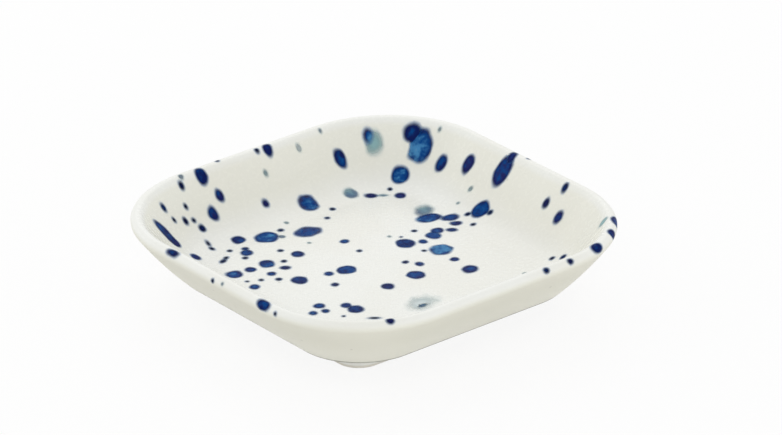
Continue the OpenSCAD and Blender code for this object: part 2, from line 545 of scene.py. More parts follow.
@dataclass(frozen=True)
class DishShape:
    """The dish's sizes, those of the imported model, and the lines of its section.

    A section's points are the distance out from the corner axes and the height.
    """

    rim_w: float = 90 * MM
    rim_corner_r: float = 26 * MM
    dish_h: float = 19 * MM
    wall_t: float = 3 * MM
    wall_angle: float = math.radians(50)
    floor_t: float = 3 * MM
    bend_r: float = 14 * MM
    wall_flare: float = 11.25 * MM
    belly_r: float = 90 * MM
    base_edge_r: float = 1.2 * MM
    foot_h: float = 4 * MM
    foot_inset: float = 6.15 * MM
    foot_corner_r: float = 6 * MM
    foot_t: float = 3.4 * MM
    bare_h: float = 0.8 * MM
    glaze_t: float = 0.4 * MM
    drop_r: float = 2.7 * MM

    @cached_property
    def corner_axis(self) -> float:
        """Distance of the corners' axes from the middle."""
        return self.rim_w / 2 - self.rim_corner_r

    @cached_property
    def floor_z(self) -> float:
        """Height of the inside floor."""
        return self.foot_h + self.floor_t

    @cached_property
    def lip_r(self) -> float:
        """Radius of the round lip."""
        return self.wall_t / 2

    @cached_property
    def lip_c(self) -> Vector:
        """Centre of the lip."""
        return Vector((self.rim_corner_r - self.lip_r, self.dish_h - self.lip_r))

    @cached_property
    def bend_c(self) -> Vector:
        """Centre of the bend between the floor and the inner wall."""
        top = self.lip_c + self.lip_r * Vector((-math.sin(self.wall_angle), math.cos(self.wall_angle)))
        foot = top.x - (top.y - self.floor_z) / math.tan(self.wall_angle)
        return Vector((foot - self.bend_r * math.tan(self.wall_angle / 2), self.floor_z + self.bend_r))

    @cached_property
    def belly_c(self) -> Vector:
        """Centre of the outer wall's belly, which runs through the underside's edge and touches the lip."""
        corner = Vector((self.base_half - self.corner_axis, self.foot_h))
        span = self.lip_c - corner
        to_lip = self.belly_r - self.lip_r
        along = (self.belly_r ** 2 - to_lip ** 2 + span.length_squared) / (2 * span.length)
        off = math.sqrt(self.belly_r ** 2 - along ** 2)
        way = span.normalized()
        return corner + along * way + off * Vector((-way.y, way.x))

    @cached_property
    def edge_c(self) -> Vector:
        """Centre of the rounded edge between the belly and the underside."""
        height = self.foot_h + self.base_edge_r
        out = math.sqrt((self.belly_r - self.base_edge_r) ** 2 - (height - self.belly_c.y) ** 2)
        return Vector((self.belly_c.x + out, height))

    @cached_property
    def base_half(self) -> float:
        """Half the underside's width."""
        return self.rim_w / 2 - self.wall_flare

    @cached_property
    def foot_half(self) -> float:
        """Half the foot ring's width over its glaze."""
        return self.base_half - self.foot_inset

    @cached_property
    def clay_foot_half(self) -> float:
        """Half the width of the foot ring's clay."""
        return self.foot_half - self.glaze_t

    @cached_property
    def clay_foot_corner(self) -> float:
        """Corner radius of the foot ring's clay."""
        return self.foot_corner_r - self.glaze_t


def heading(start: Vector, end: Vector) -> float:
    """Angle of the way from one point of a section to another."""
    return math.atan2(end.y - start.y, end.x - start.x)


def arc(centre: Vector, radius: float, start: float, end: float, steps: int) -> list[Vector]:
    """Points of an arc, its first one left out.

    Args:
        centre: Its centre.
        radius: Its radius.
        start, end: Its first and last angle.
        steps: How many points it has.

    Returns:
        The points, in order.
    """
    angles = (start + (end - start) * step / steps for step in range(1, steps + 1))
    return [centre + radius * Vector((math.cos(angle), math.sin(angle))) for angle in angles]


@dataclass(frozen=True)
class Ring:
    """One level of a swept wall: a rounded square at a height, and how far it lies on the dish's outside."""

    half: float
    corner: float
    height: float
    outside: float = 0.0


class GeometryTree(NodeMaker):
    """A geometry tree that grows a piece from a few points, with named inputs."""

    # Added to a whole number before it is divided, so that rounding can't drop the result by one.
    HALF_STEP = 0.5

    def __init__(self, name: str, source: str, numbers: dict[str, str]) -> None:
        """Starts the tree.

        Args:
            name: Its name.
            source: Name of the input that takes the points.
            numbers: Kinds of its other inputs, by name.
        """
        tree = bpy.data.node_groups.new(name, "GeometryNodeTree")
        super().__init__(tree)
        tree.interface.new_socket("Geometry", in_out="OUTPUT", socket_type="NodeSocketGeometry")
        self.identifiers: dict[str, str] = {}
        for key, kind in {source: "Geometry", **numbers, "Material": "Material"}.items():
            socket = tree.interface.new_socket(key, in_out="INPUT", socket_type=f"NodeSocket{kind}")
            self.identifiers[key] = socket.identifier
        self.given = self.node("NodeGroupInput", None, None, source)

    def named(self, name: str) -> Wire:
        """A number that the points carry."""
        settings = {"data_type": "FLOAT"}
        return self.node("GeometryNodeInputNamedAttribute", settings, {"Name": name}, "Attribute")

    def on(self, kind: str, geometry: Wire, sockets: dict | None = None,
           settings: dict | None = None) -> Wire:
        """A node that works on a geometry."""
        return self.node(f"GeometryNode{kind}", settings, {"Geometry": geometry, **(sockets or {})})

    def stored(self, geometry: Wire, name: str, value: Wire) -> Wire:
        """A geometry whose points carry one more number."""
        settings = {"data_type": "FLOAT", "domain": "POINT"}
        return self.on("StoreNamedAttribute", geometry, {"Name": name, "Value": value}, settings)

    def lattice(self, columns: Value, rows: Value) -> tuple[Wire, Wire, Wire]:
        """A flat grid to be bent into shape.

        Args:
            columns, rows: How many points it has each way.

        Returns:
            The grid, and each point's column and row.
        """
        grid = self.node("GeometryNodeMeshGrid", None, {"Vertices X": columns, "Vertices Y": rows}, "Mesh")
        index = self.node("GeometryNodeInputIndex")
        column = self.math("FLOOR", (index + self.HALF_STEP) / rows)
        return grid, column, index - column * rows

    def close(self, geometry: Wire) -> None:
        """Ends the tree with a smooth mesh in its material.

        Args:
            geometry: What the tree has made.
        """
        geometry = self.on("SetShadeSmooth", geometry, {"Shade Smooth": True})
        geometry = self.on("RealizeInstances", geometry)
        geometry = self.on("SetMaterial", geometry, {"Material": self.given.out("Material")})
        self.node("NodeGroupOutput", None, {"Geometry": geometry})

    def grow(self, name: str, points: list[tuple], carried: dict[str, list[float]],
             values: dict[str, float | bpy.types.Material]) -> bpy.types.Object:
        """Runs the tree on a few points and keeps the result as a plain mesh.

        Args:
            name: The piece's name.
            points: The points.
            carried: Numbers that the points carry, by name.
            values: Values of the tree's inputs, by name.

        Returns:
            The piece.
        """
        start = bpy.data.meshes.new(name)
        start.from_pydata(points, [], [])
        for key, numbers in carried.items():
            start.attributes.new(key, "FLOAT", "POINT").data.foreach_set("value", numbers)
        piece = bpy.data.objects.new(name, start)
        bpy.context.scene.collection.objects.link(piece)
        modifier = piece.modifiers.new("grow", "NODES")
        modifier.node_group = self.tree
        for key, value in values.items():
            modifier[self.identifiers[key]] = value
        bpy.context.view_layer.update()
        graph = bpy.context.evaluated_depsgraph_get()
        mesh = bpy.data.meshes.new_from_object(piece.evaluated_get(graph))
        piece.modifiers.clear()
        piece.data = mesh
        mesh.name = name
        bpy.data.meshes.remove(start)
        return piece


class RoundedSquareSweep(GeometryTree):
    """Joins a stack of rounded squares into one closed skin."""

    FIELDS = ("half", "corner", "height", "outside")
    SEAM_GAP = 0.0004 * MM

    def __init__(self) -> None:
        """Builds the tree."""
        super().__init__("rounded_square_sweep", "Rings", {"Side Steps": "Int", "Corner Steps": "Int"})
        rows = self.node("GeometryNodeAttributeDomainSize", None, {"Geometry": self.given}, "Point Count")
        side_steps = self.given.out("Side Steps")
        corner_steps = self.given.out("Corner Steps")
        quarter = side_steps + corner_steps
        grid, column, row = self.lattice(quarter * 4 + 1, rows)
        half, corner, height, outside = (self._sampled(name, row) for name in self.FIELDS)
        turn = self.math("FLOOR", (column + self.HALF_STEP) / quarter)
        step = column - turn * quarter
        along = self.math("MINIMUM", step / side_steps, 1.0)
        angle = self.math("MAXIMUM", step - side_steps, 0.0) / corner_steps * UP
        straight = half - corner
        x = straight + corner * self.math("COSINE", angle)
        y = straight * (along * 2 - 1) + corner * self.math("SINE", angle)
        place = self.node("ShaderNodeVectorRotate", {"rotation_type": "Z_AXIS"},
                          {"Vector": self.combine(x, y, height), "Angle": turn * UP})
        skin = self.stored(grid, "outside", outside)
        skin = self.on("SetPosition", skin, {"Position": place})
        self.close(self.on("MergeByDistance", skin, {"Distance": self.SEAM_GAP}))

    def _sampled(self, name: str, row: Wire) -> Wire:
        """One field of the ring in a row."""
        settings = {"data_type": "FLOAT", "domain": "POINT"}
        return self.on("SampleIndex", self.given, {"Value": self.named(name), "Index": row}, settings)

    def sweep(self, name: str, rings: list[Ring], material: bpy.types.Material,
              side_steps: int, corner_steps: int) -> bpy.types.Object:
        """Sweeps a stack of rings.

        Args:
            name: The piece's name.
            rings: The rings, in the order that they follow the section, with the solid on their right.
            material: The piece's material.
            side_steps: Steps along each straight side.
            corner_steps: Steps round each corner.

        Returns:
            The piece, as a plain mesh.
        """
        carried = {key: [getattr(ring, key) for ring in rings] for key in self.FIELDS}
        values = {"Side Steps": side_steps, "Corner Steps": corner_steps, "Material": material}
        return self.grow(name, [(0, 0, 0)] * len(rings), carried, values)


@dataclass(frozen=True)
class Drop:
    """One drop of pigment.

    Its place is in shares of half the rim's width, with the outer half of the lip rolled out flat. Its
    radius, across its length, is a share of the size that drop_r gives. Its sway is how much paler its far
    end is than its middle, and by chance where none is given.
    """

    x: float
    y: float
    r: float
    ink: Ink | Wash
    stretch: float = 1.0
    turn: float = 0.0
    soft: float = 0.0
    sway: float | None = None


class DropLens(GeometryTree):
    """Lays a thin, uneven lens on the inside for each drop and bends it to the wall."""

    SIZES = ("Corner Axis", "Floor Height", "Bend Start", "Bend Radius", "Bend End", "Wall Slope",
             "Lip Start", "Lip Out", "Lip Height", "Lip Radius", "Lift", "Sink", "Depth", "Wobble")
    AROUND = 40
    TOP_STEPS = 10
    UNDER_STEPS = 3
    POLE_GAP = 0.002
    LEAST_REACH = 1e-9
    LIP_END = math.radians(112)
    EDGE_POWER = 6
    SINK = 0.02 * MM
    DEPTH = 0.2 * MM
    WOBBLE_SCALE = 380.0
    WOBBLE_SHARE = 0.2
    SPREAD_SHARE = 1.1
    MARGIN = 0.55 * MM
    TONE_CHANCE = 0.14
    HUE_CHANCE = 0.7
    SWAY_CHANCE = 0.25

    def __init__(self) -> None:
        """Builds the tree."""
        super().__init__("drop_lens", "Drops", dict.fromkeys(self.SIZES, "Float"))
        size = {name: self.given.out(name) for name in self.SIZES}
        radius = self.named("lens_radius")
        drops = self.node("GeometryNodeMeshToPoints", None, {"Mesh": self.given})
        turned = self.node("FunctionNodeEulerToRotation", None,
                           {"Euler": self.combine(0.0, 0.0, self.named("turn"))})
        scale = self.combine(radius * self.named("stretch"), radius, 1.0)
        lenses = self.node("GeometryNodeInstanceOnPoints", None,
                           {"Points": drops, "Instance": self._lens(), "Rotation": turned, "Scale": scale})
        lenses = self.on("RealizeInstances", lenses)
        place, normal = self._on_wall(self._uneven(size["Wobble"]), size)
        reach = self.named("reach")
        top = size["Lift"] - (size["Lift"] + size["Sink"]) * reach ** self.EDGE_POWER
        bottom = size["Depth"] * (reach * reach - 1) - size["Sink"]
        on_top = self.named("side") > 0
        lift = self.node("ShaderNodeVectorMath", {"operation": "SCALE"},
                         {"Vector": normal, "Scale": bottom + (top - bottom) * on_top}, "Vector")
        self.close(self.on("SetPosition", lenses, {"Position": self.sum(place, lift)}))

    def _lens(self) -> Wire:
        """A closed lens of radius 1: its top from the middle to the edge, then its underside back.

        Returns:
            The lens, whose points carry their reach from the middle, their side and their way across.
        """
        lens, column, row = self.lattice(self.AROUND + 1, self.TOP_STEPS + self.UNDER_STEPS + 1)
        going_out = self.math("MINIMUM", row / self.TOP_STEPS, 1.0)
        coming_back = self.math("MAXIMUM", row - self.TOP_STEPS, 0.0) / self.UNDER_STEPS
        reach = going_out - coming_back
        side = 1 - going_out - coming_back
        angle = column * (-FULL_TURN / self.AROUND)
        across = reach * self.math("COSINE", angle)
        place = self.combine(across, reach * self.math("SINE", angle), side)
        for name, value in (("reach", reach), ("side", side), ("across", across)):
            lens = self.stored(lens, name, value)
        lens = self.on("SetPosition", lens, {"Position": place})
        return self.on("MergeByDistance", lens, {"Distance": self.POLE_GAP})

    def _uneven(self, wobble: Wire) -> tuple[Wire, Wire]:
        """Places on the plan, pushed about a little so that no drop is a true circle.

        Args:
            wobble: The greatest push, as a share of the drop's radius.

        Returns:
            The two plan coordinates.
        """
        here = self.apart(self.node("GeometryNodeInputPosition"))
        flat = self.combine(here, here.out("Y"), 0.0)
        noise = self.node("ShaderNodeTexNoise", None,
                          {"Vector": flat, "Scale": self.WOBBLE_SCALE, "Detail": 0.0}, "Color")
        push = self.apart(noise)
        reach = wobble * 2 * self.named("lens_radius") * self.named("reach")
        return here + (push - NOISE_MEAN) * reach, here.out("Y") + (push.out("Y") - NOISE_MEAN) * reach

    def _on_wall(self, flat: tuple[Wire, Wire], size: dict[str, Wire]) -> tuple[Wire, Wire]:
        """Lifts plan places onto the floor, the bend, the wall and the lip.

        Args:
            flat: The two plan coordinates.
            size: The dish's sizes.

        Returns:
            The place on the surface and the way out of it.
        """
        axis = size["Corner Axis"]
        base = [self.clamped(way, axis * -1, axis) for way in flat]
        past = [way - foot for way, foot in zip(flat, base)]
        gone = self.math("SQRT", past[0] * past[0] + past[1] * past[1])
        safe = self.math("MAXIMUM", gone, self.LEAST_REACH)
        bent = self.clamped(gone, size["Bend Start"], size["Bend End"])
        bend_lean = (size["Bend Start"] - bent) / size["Bend Radius"]
        over = (gone - size["Lip Out"]) / size["Lip Radius"]
        rolled = self.clamped(over, 0.0, self.LIP_END)
        lip_lean = self.math("MINIMUM", over, 0.0) + self.math("SINE", rolled)
        on_lip = gone > size["Lip Start"]
        lean = bend_lean + (lip_lean - bend_lean) * on_lip
        upright = self.math("SQRT", self.math("MAXIMUM", 1 - lean * lean, 0.0))
        upright = upright * self.math("SIGN", UP - rolled)
        out = gone + (size["Lip Out"] + size["Lip Radius"] * lip_lean - gone) * on_lip
        climb = self.math("MAXIMUM", out - size["Bend End"], 0.0) * size["Wall Slope"]
        wall = size["Floor Height"] + size["Bend Radius"] * (1 - upright) + climb
        lip = size["Lip Height"] + size["Lip Radius"] * upright
        height = wall + (lip - wall) * on_lip
        way = [push / safe for push in past]
        place = self.combine(base[0] + way[0] * out, base[1] + way[1] * out, height)
        return place, self.combine(way[0] * lean, way[1] * lean, upright)

    def lay(self, name: str, drops: list[Drop], shape: DishShape, depth: float, lift: float,
            material: bpy.types.Material, seed: int) -> bpy.types.Object:
        """Lays the drops of one kind.

        Args:
            name: The piece's name.
            drops: The drops.
            shape: The dish's sizes.
            depth: How far the glaze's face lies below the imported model's.
            lift: How far the drops stand out of the glaze.
            material: The pigment.
            seed: Seed of the drops' tones.

        Returns:
            The piece, as a plain mesh.
        """
        chance = random.Random(seed)
        half = shape.rim_w / 2
        points = [(drop.x * half, drop.y * half, 0) for drop in drops]
        radii = [drop.r * shape.drop_r for drop in drops]
        tone, sway = self.TONE_CHANCE, self.SWAY_CHANCE
        carried = {
            "drop_radius": radii,
            "lens_radius": [self.SPREAD_SHARE * radius + self.MARGIN for radius in radii],
            "tone": [drop.ink.value + chance.uniform(-tone, tone) for drop in drops],
            "hue": [chance.uniform(0.0, self.HUE_CHANCE) for _ in drops],
            "sway": [chance.uniform(-sway, sway) if drop.sway is None else drop.sway for drop in drops],
            "stretch": [drop.stretch for drop in drops],
            "turn": [math.radians(drop.turn) for drop in drops],
            "soft": [drop.soft for drop in drops],
        }
        lean = math.sin(shape.wall_angle)
        values = {
            "Corner Axis": shape.corner_axis,
            "Floor Height": shape.floor_z - depth,
            "Bend Start": shape.bend_c.x,
            "Bend Radius": shape.bend_r + depth,
            "Bend End": shape.bend_c.x + (shape.bend_r + depth) * lean,
            "Wall Slope": math.tan(shape.wall_angle),
            "Lip Start": shape.lip_c.x - (shape.lip_r - depth) * lean,
            "Lip Out": shape.lip_c.x,
            "Lip Height": shape.lip_c.y,
            "Lip Radius": shape.lip_r - depth,
            "Lift": lift,
            "Sink": self.SINK,
            "Depth": self.DEPTH,
            "Wobble": self.WOBBLE_SHARE,
            "Material": material,
        }
        return self.grow(name, points, carried, values)


def shown(piece: bpy.types.Object, slot: Slot, *nodes: str) -> None:
    """Hangs a finished piece on the frame in place of its solids.

    Args:
        piece: The piece.
        slot: The record's material slot. Not used.
        nodes: The solids that it stands for.
    """
    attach(piece, "root")
    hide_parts(*nodes)
    LOG.info("%s: %d faces, stands for %s", piece.name, len(piece.data.polygons), ", ".join(nodes))


@dataclass
class WhiteCoat:
    """The coat that runs from the middle of the floor over the lip and down to the foot's bare edge.

    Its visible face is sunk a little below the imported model's, to leave room for the drops.
    """

    shape: DishShape
    finish: WhiteGlaze
    sunk: float = 0.045 * MM
    pool_r: float = 0.7 * MM
    floor_steps: int = 38
    bend_steps: int = 26
    wall_steps: int = 14
    lip_steps: int = 10
    belly_steps: int = 28
    edge_steps: int = 6
    under_steps: int = 6
    hidden_steps: int = 5
    hidden_floor_steps: int = 2
    side_steps: int = 56
    corner_steps: int = 60

    def _section(self, depth: float, fine: bool) -> tuple[list[Vector], list[Vector]]:
        """The coat's section on one of its faces, inside and outside.

        Args:
            depth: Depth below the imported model's face.
            fine: Whether the face shows and so has all its steps.

        Returns:
            Its points from the bend's start to the outermost point of the lip, and from there to the end of
            the underside's edge.
        """
        shape = self.shape
        counts = (self.bend_steps, self.wall_steps, self.lip_steps, self.belly_steps, self.edge_steps)
        bend, wall, lip, belly, edge = (count if fine else self.hidden_steps for count in counts)
        lip_r = shape.lip_r - depth
        lip_start = shape.wall_angle + UP
        inner = arc(shape.bend_c, shape.bend_r + depth, DOWN, shape.wall_angle + DOWN, bend)
        foot = inner[-1]
        top = shape.lip_c + lip_r * Vector((math.cos(lip_start), math.sin(lip_start)))
        inner += [foot.lerp(top, step / wall) for step in range(1, wall + 1)]
        inner += arc(shape.lip_c, lip_r, lip_start, UP, lip)
        inner += arc(shape.lip_c, lip_r, UP, 0.0, 2 * lip)
        belly_top = heading(shape.belly_c, shape.lip_c)
        belly_foot = heading(shape.belly_c, shape.edge_c)
        outer = arc(shape.lip_c, lip_r, 0.0, belly_top, edge)
        outer += arc(shape.belly_c, shape.belly_r - depth, belly_top, belly_foot, belly)
        outer += arc(shape.edge_c, shape.base_edge_r - depth, belly_foot, DOWN, edge)
        return inner, outer

    def _side(self, depth: float, fine: bool) -> list[Ring]:
        """The coat's rings on one of its faces, from the middle of the floor to the foot.

        Args:
            depth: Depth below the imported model's face.
            fine: Whether the face shows.

        Returns:
            The rings.
        """
        shape = self.shape
        axis = shape.corner_axis
        bend_start = shape.bend_c.x
        steps = self.floor_steps if fine else self.hidden_floor_steps
        shares = [step / steps for step in range(steps + 1)]
        floor = shape.floor_z - depth
        rings = [Ring(share * (axis + bend_start), share * bend_start, floor) for share in shares]
        inner, outer = self._section(depth, fine)
        for point in inner:
            past_top = (point.x - shape.lip_c.x) / shape.lip_r
            rings.append(Ring(axis + point.x, point.x, point.y, max(past_top, 0.0)))
        rings += [Ring(axis + point.x, point.x, point.y, 1.0) for point in outer]
        pool = self.pool_r if fine else 0.0
        last = rings[-1]
        half = shape.foot_half - depth + pool
        corner = shape.foot_corner_r - depth + pool
        under = shape.foot_h + depth
        for step in range(1, self.under_steps + 1):
            share = step / self.under_steps
            rings.append(Ring(last.half + (half - last.half) * share,
                              last.corner + (corner - last.corner) * share, under, 1.0))
        if fine:
            for point in arc(Vector((0.0, under - pool)), pool, UP, INWARD, self.edge_steps):
                rings.append(Ring(half + point.x, corner + point.x, point.y, 1.0))
        return rings

    def rings(self) -> list[Ring]:
        """The coat's closed section: its hidden face out to the foot's bare edge, then its visible face back.

        Returns:
            The rings, in the sweep's order.
        """
        shape = self.shape
        hidden = self._side(shape.glaze_t, False)
        visible = self._side(self.sunk, True)
        half = shape.clay_foot_half
        corner = shape.clay_foot_corner
        round_r = (shape.glaze_t - self.sunk) / 2
        end = [Ring(half, corner, shape.bare_h + round_r, 1.0)]
        centre = Vector((round_r, shape.bare_h + round_r))
        for point in arc(centre, round_r, INWARD, FULL_TURN, self.edge_steps):
            end.append(Ring(half + point.x, corner + point.x, point.y, 1.0))
        return hidden + end + visible[::-1]

    def build(self, sweep: RoundedSquareSweep) -> bpy.types.Object:
        """Makes the coat with the tree that sweeps it."""
        material = self.finish.material("white_glaze")
        return sweep.sweep("white_coat", self.rings(), material, self.side_steps, self.corner_steps)

    def dress(self, piece: bpy.types.Object) -> None:
        """Hangs the coat on the frame."""
        shown(piece, Slot.WHITE, "inside_glaze", "outside_glaze")


@dataclass
class Foot:
    """The clay foot ring and the coat in the hollow that it encloses."""

    shape: DishShape
    clay: BareClay
    glaze: WhiteGlaze
    worn_r: float = 0.4 * MM
    pool_r: float = 0.9 * MM
    least_corner: float = 0.3 * MM
    back_shares: Span = (0.5, 0.0)
    round_steps: int = 5
    side_steps: int = 24
    corner_steps: int = 16

    def ring_rings(self) -> list[Ring]:
        """The clay ring's section: up its outer face, over its seat, down inside and round its worn edge.

        Returns:
            The rings, the first one again at the end.
        """
        shape = self.shape
        seat = shape.foot_h + shape.glaze_t
        worn = self.worn_r
        inner = -shape.foot_t
        points = [Vector((0.0, worn)), Vector((0.0, seat)), Vector((inner, seat)), Vector((inner, worn))]
        points += arc(Vector((inner + worn, worn)), worn, INWARD, FULL_TURN + DOWN, self.round_steps)
        points += [Vector((-worn, 0.0))]
        points += arc(Vector((-worn, worn)), worn, FULL_TURN + DOWN, FULL_TURN, self.round_steps)
        half = shape.clay_foot_half
        corner = shape.clay_foot_corner
        return [Ring(half + point.x, corner + point.x, point.y) for point in points[::-1]]

    def coat_rings(self) -> list[Ring]:
        """The hollow's coat: out along its visible face, down the ring, and back along its hidden face.

        Returns:
            The rings.
        """
        shape = self.shape
        half = shape.clay_foot_half - shape.foot_t
        corner = shape.clay_foot_corner - shape.foot_t
        coat = shape.glaze_t
        start = -coat - self.pool_r
        edge_r = coat / 2
        face = [Vector((start, shape.foot_h))]
        face += arc(Vector((start, shape.foot_h - self.pool_r)), self.pool_r, UP, 0.0, self.round_steps)
        face += arc(Vector((-edge_r, shape.bare_h + edge_r)), edge_r, INWARD, FULL_TURN, self.round_steps)
        face += [Vector((0.0, shape.foot_h + coat))]
        walls = [Ring(half + point.x, max(corner + point.x, self.least_corner), point.y, 1.0)
                 for point in face]
        first = walls[0]
        shares = [step / self.round_steps for step in range(self.round_steps)]
        plate = [Ring(share * first.half, share * first.corner, first.height, 1.0) for share in shares]
        back = [Ring(share * half, share * corner, shape.foot_h + coat, 1.0) for share in self.back_shares]
        return (plate + walls + back)[::-1]

    def build(self, sweep: RoundedSquareSweep) -> list[bpy.types.Object]:
        """Makes the ring and the coat.

        Args:
            sweep: The tree that sweeps them.

        Returns:
            The ring and the coat.
        """
        steps = self.side_steps, self.corner_steps
        ring = sweep.sweep("foot_clay", self.ring_rings(), self.clay.material("bare_clay"), *steps)
        coat = sweep.sweep("hollow_coat", self.coat_rings(), self.glaze.material("hollow_glaze"), *steps)
        return [ring, coat]

    def dress(self, pieces: list[bpy.types.Object]) -> None:
        """Hangs the ring and the coat on the frame.

        Args:
            pieces: The ring and the coat.
        """
        ring, coat = pieces
        shown(ring, Slot.CLAY, "foot_ring")
        shown(coat, Slot.WHITE, "base_glaze")


# An entry of this length has a place and a radius, and no ink of its own.
PLAIN_ENTRY = 3


def drops_of(table: tuple[tuple, ...], usual: Ink | Wash) -> list[Drop]:
    """Reads a table of drops, and gives those that name no ink the usual one."""
    return [Drop(*entry, usual) if len(entry) == PLAIN_ENTRY else Drop(*entry) for entry in table]


@dataclass
class Spatter:
    """The drops of one kind over the inside."""

    name: str
    node: str
    slot: Slot
    finish: DropGlaze
    drops: list[Drop]
    lift: float
    seed: int

    def build(self, lens: DropLens, coat: WhiteCoat) -> bpy.types.Object:
        """Lays the drops on the coat."""
        material = self.finish.material()
        return lens.lay(self.name, self.drops, coat.shape, coat.sunk, self.lift, material, self.seed)

    def dress(self, piece: bpy.types.Object) -> None:
        """Hangs the drops on the frame."""
        shown(piece, self.slot, self.node)


# Each entry is a drop: place, radius and, where they are its own, ink, stretch, turn, softness and sway.
FLOOR_DROPS = (
    (-0.58, 0.35, 0.75), (-0.49, 0.34, 0.50), (-0.39, 0.34, 0.70), (-0.21, 0.33, 0.55), (-0.31, 0.31, 0.27),
    (-0.44, 0.24, 0.40), (-0.35, 0.25, 0.38, Ink.INDIGO, 1.35, -39), (-0.52, 0.22, 0.23), (-0.59, 0.18, 0.48),
    (-0.45, 0.17, 0.28), (-0.38, 0.10, 0.72), (-0.23, 0.06, 0.42), (-0.14, 0.04, 0.82, Ink.COBALT),
    (0.05, 0.29, 0.42), (0.04, 0.16, 0.25), (-0.28, -0.05, 0.35), (-0.48, -0.18, 0.48), (-0.55, -0.22, 0.38),
    (-0.49, -0.24, 0.36), (-0.38, -0.26, 0.48), (-0.37, -0.32, 0.66), (-0.10, -0.23, 0.56, Ink.INDIGO),
    (0.08, -0.22, 0.77), (0.13, -0.08, 0.30), (0.17, -0.14, 0.40), (0.33, -0.21, 0.42), (0.32, -0.34, 0.70),
    (0.35, -0.085, 1.00, Ink.SKY, 1.0, 0.0, 0.15), (0.26, 0.08, 0.80), (0.34, 0.04, 0.40),
    (0.42, 0.06, 0.68, Ink.COBALT), (0.47, 0.09, 0.52), (0.53, 0.05, 0.36, Ink.NAVY, 1.4, -35),
    (0.53, 0.225, 0.76, Ink.COBALT, 1.5, -10, 0.0, -0.5), (0.61, 0.16, 0.56, Ink.NAVY, 1.4, -31),
    (0.59, 0.095, 0.42, Ink.INDIGO, 1.3, -39), (0.68, 0.11, 0.27), (0.73, 0.07, 0.80, Ink.NAVY),
    (0.74, 0.01, 0.27), (0.29, 0.15, 0.18), (0.28, -0.04, 0.20), (-0.58, 0.25, 0.18), (-0.46, -0.34, 0.16),
    (-0.36, -0.45, 0.20, Ink.INDIGO, 2.4, -39), (-0.25, 0.41, 0.27), (0.38, 0.16, 0.26), (0.64, 0.02, 0.24),
)
BEND_DROPS = (
    (-0.34, 0.63, 0.60), (-0.44, 0.57, 0.24), (-0.21, 0.57, 1.00, Ink.COBALT),
    (-0.02, 0.49, 0.92, Ink.COBALT, 1.4, -9, 0.25, -0.5), (-0.39, 0.50, 0.56), (-0.37, 0.54, 0.32),
    (-0.43, 0.46, 0.27), (-0.535, 0.50, 0.27, Ink.INDIGO, 1.6, 27), (-0.50, 0.52, 0.22, Ink.INDIGO, 1.4, 27),
    (-0.63, 0.59, 0.46), (-0.49, 0.675, 0.20, Ink.INDIGO, 1.8, -100),
    (-0.50, 0.635, 0.24, Ink.INDIGO, 1.3, -80), (0.15, 0.55, 0.27),
    (0.47, 0.605, 0.40, Ink.INDIGO, 1.45, -39), (0.58, 0.51, 0.50), (0.67, 0.62, 0.77, Ink.COBALT),
    (0.15, 0.70, 0.90, Ink.NAVY, 1.0, -75, 0.2, 0.3), (0.69, -0.60, 0.30), (0.67, -0.54, 0.24),
    (0.58, 0.59, 0.22), (0.23, 0.61, 0.26), (-0.11, 0.59, 0.27),
)
WALL_DROPS = (
    (-0.715, 0.715, 0.62, Ink.INDIGO, 1.5, -45), (-0.685, 0.685, 0.50), (-0.63, 0.84, 0.30),
    (-0.53, 0.80, 0.27), (-0.46, 0.76, 0.32), (-0.49, 0.85, 0.20), (-0.36, 0.80, 0.48, Ink.NAVY),
    (-0.28, 0.85, 0.42), (-0.06, 0.77, 0.37, Ink.INDIGO, 1.0, 0.0, 0.3), (0.46, 0.83, 0.57, Ink.NAVY),
    (0.642, 0.838, 0.50, Ink.COBALT, 1.0, -67, 0.6, 1.3), (0.814, 0.70, 0.56, Ink.INDIGO, 1.5, -55),
    (0.81, 0.63, 1.04, Ink.BLUE, 1.0, 152, 0.1, 0.6), (0.82, 0.48, 0.54, Ink.NAVY), (0.86, 0.32, 0.60),
    (0.888, 0.095, 0.80, Ink.INDIGO, 1.2, -5), (0.86, -0.27, 0.34), (0.84, -0.39, 0.42), (0.93, -0.33, 0.32),
    (-0.46, 0.92, 0.28), (-0.60, 0.80, 0.18), (-0.48, 0.80, 0.22),
)
LIP_DROPS = (
    (-0.33, 0.93, 0.56), (0.09, 0.94, 0.46), (0.03, 0.95, 0.24), (-0.983, 0.30, 0.36, Ink.INDIGO, 2.0, 93),
    (-0.99, -0.405, 0.52, Ink.INDIGO, 1.5, 90), (-0.65, -0.93, 0.34),
    (0.86, -0.80, 0.56, Ink.INDIGO, 1.4, 48), (0.755, -0.89, 0.52), (0.59, -0.96, 0.52, Ink.INDIGO, 1.35, 17),
    (0.25, -0.99, 0.30), (0.40, -0.99, 0.30), (-1.01, -0.03, 0.22), (-1.00, -0.50, 0.20),
    (-0.20, 0.97, 0.20), (0.98, 0.00, 0.22), (0.945, 0.085, 0.40, Ink.INDIGO, 1.3, -5),
)
NEAR_DROPS = (
    (-0.72, 0.10, 0.62), (-0.80, 0.24, 0.34), (-0.69, -0.12, 0.32), (-0.84, -0.18, 0.72, Ink.NAVY),
    (-0.77, -0.34, 0.30), (-0.90, 0.05, 0.40), (-0.66, -0.45, 0.56), (-0.75, -0.62, 0.46),
    (-0.58, -0.74, 0.70, Ink.COBALT), (-0.48, -0.63, 0.32), (-0.38, -0.82, 0.44), (-0.23, -0.70, 0.58),
    (-0.10, -0.86, 0.36), (0.04, -0.66, 0.30), (0.12, -0.78, 0.66, Ink.NAVY), (0.28, -0.68, 0.42),
    (0.37, -0.85, 0.52), (0.50, -0.76, 0.36),
)
